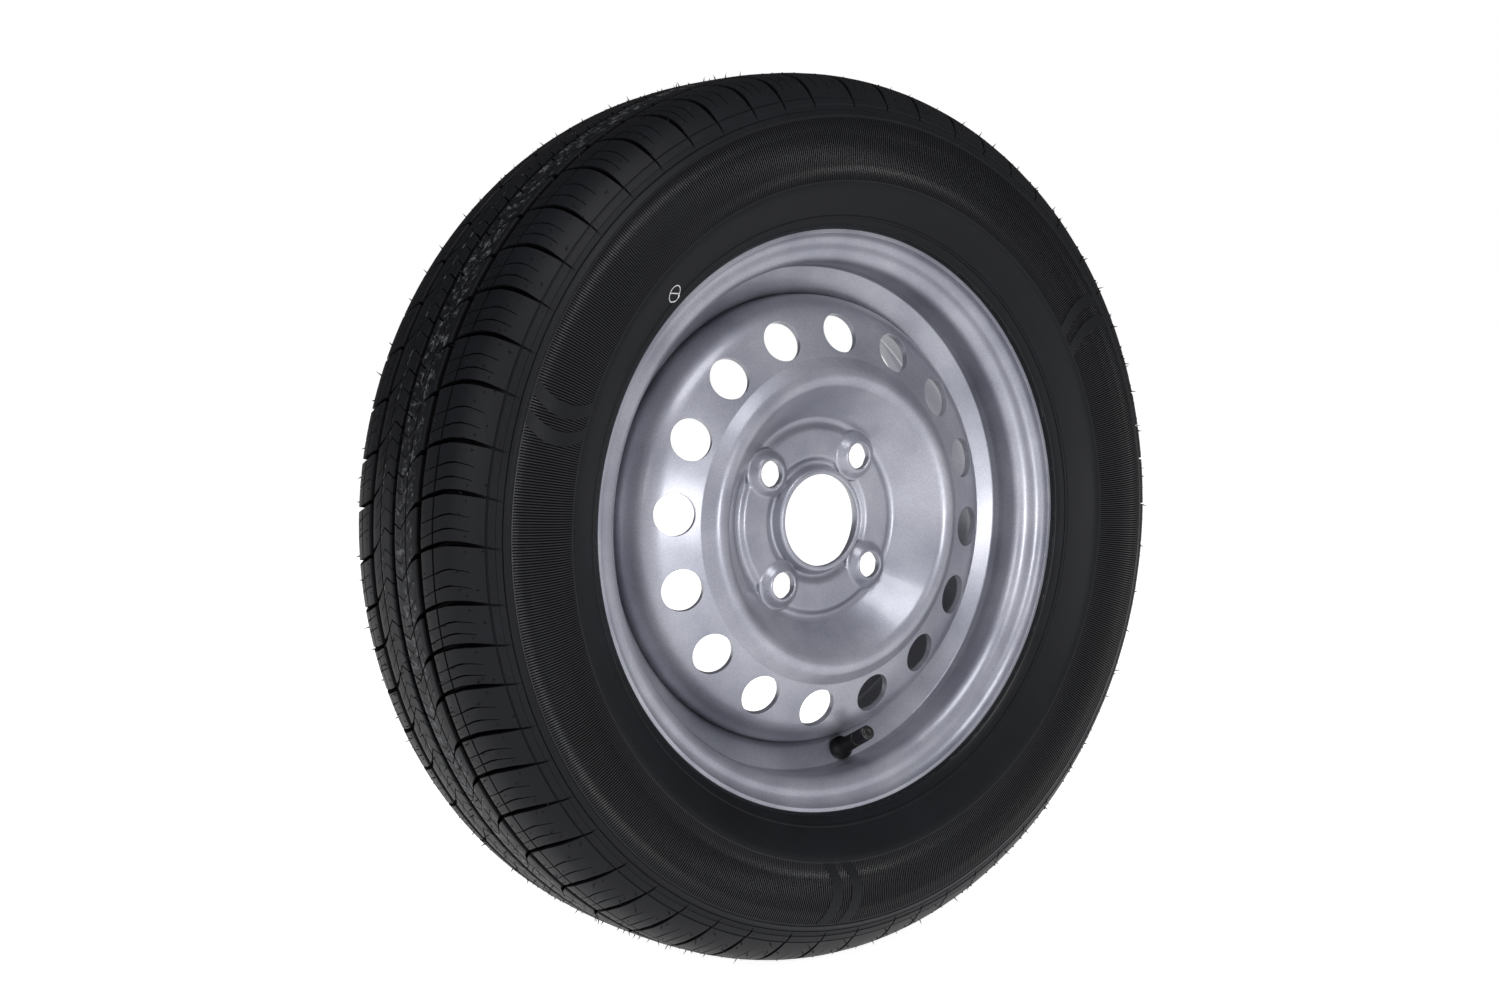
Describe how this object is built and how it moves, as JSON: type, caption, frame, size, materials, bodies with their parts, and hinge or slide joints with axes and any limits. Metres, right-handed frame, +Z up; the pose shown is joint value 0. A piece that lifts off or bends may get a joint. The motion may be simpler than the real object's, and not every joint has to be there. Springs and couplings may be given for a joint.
{
  "type": "trailer wheel with tyre",
  "caption": "Pressed-steel trailer wheel in silver paint with its radial tyre and snap-in rubber valve: raised bolt bosses, a collared centre bore and a ring of round vent holes.",
  "frame": {"origin": "The centre of the rim: on the spin axis, midway between the flanges. The hub mounting face is 30 mm outboard of it.", "axes": "+Y along the spin axis towards the vehicle, so the outboard side faces -Y; +Z up."},
  "size_m": [0.5619, 0.1654, 0.562],
  "materials": {
    "tyre_rubber": "moulded black rubber, slightly dusty",
    "silver_paint": "silver metallic paint with fine flake",
    "valve_rubber": "satin black rubber",
    "valve_brass": "turned",
    "core_seal": "satin",
    "pin_steel": "drawn wire",
    "cap_plastic": "moulded black plastic"
  },
  "bodies": {
    "root": {"tyre": "tyre_rubber", "rim": "silver_paint", "wheel_disc": "silver_paint", "disc_welds": "silver_paint", "valve_body": "valve_rubber", "valve_stem": "valve_brass", "core_plug": "valve_brass", "core_barrel": "valve_brass", "core_barrel_seal": "core_seal", "core_spring": "pin_steel"},
    "core_pin_body": {"core_pin": "pin_steel", "core_plunger_cup": "valve_brass", "core_plunger_seal": "core_seal"},
    "cap_seal_body": {"valve_cap_seal": "core_seal"},
    "cap_body": {"valve_cap": "cap_plastic"}
  },
  "joints": [
    {"name": "valve_pin_press", "type": "slide", "parent": "root", "child": "core_pin_body", "axis": [0.0799, 0.8988, -0.431], "range_m": [0, 0.001], "stiffness_N_per_m": 2000, "deforming": ["core_spring"]},
    {"name": "cap_lift", "type": "slide", "parent": "root", "child": "cap_seal_body", "axis": [-0.0799, -0.8988, 0.431], "range_m": [0, 0.00794]},
    {"name": "cap_turn", "type": "hinge", "parent": "cap_seal_body", "child": "cap_body", "pos_m": [0.02565, -0.05124, -0.13839], "axis": [-0.0799, -0.8988, 0.431], "range_deg": [0, 3600]}
  ],
  "couplings": [
    {"joint": "cap_turn", "follows": "cap_lift", "rad_per_m": 7913.3}
  ]
}
